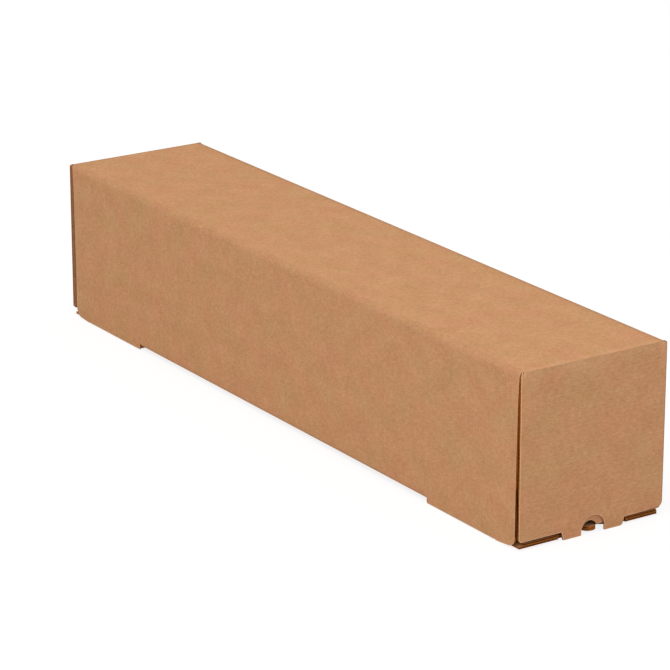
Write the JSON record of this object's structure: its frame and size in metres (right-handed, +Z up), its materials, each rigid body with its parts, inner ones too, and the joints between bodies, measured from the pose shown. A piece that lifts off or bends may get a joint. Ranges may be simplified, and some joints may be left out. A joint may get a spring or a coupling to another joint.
{
  "type": "square cardboard mailing tube",
  "caption": "Long square mailing tube folded from one corrugated sheet, with tab-locked end flaps that hinge at the top.",
  "frame": {"origin": "on the floor under the middle of the tube, which lies with its doubled bottom down", "axes": "+Y along the tube towards its rear end, +X across it towards the far side, +Z up; the front end flap faces -Y"},
  "size_m": [0.1302, 0.6418, 0.1344],
  "materials": {
    "kraft_board": "uncoated kraft liner, matt"
  },
  "bodies": {
    "tube": {"folded_tube": "kraft_board"},
    "front_flap": {"front_end_flap": "kraft_board"},
    "rear_flap": {"rear_end_flap": "kraft_board"}
  },
  "joints": [
    {"name": "front_flap_hinge", "type": "hinge", "parent": "tube", "child": "front_flap", "pos_m": [0, -0.32043, 0.13393], "axis": [-1, 0, 0], "range_deg": [0, 180]},
    {"name": "rear_flap_hinge", "type": "hinge", "parent": "tube", "child": "rear_flap", "pos_m": [0, 0.32043, 0.13393], "axis": [1, 0, 0], "range_deg": [0, 180]}
  ]
}
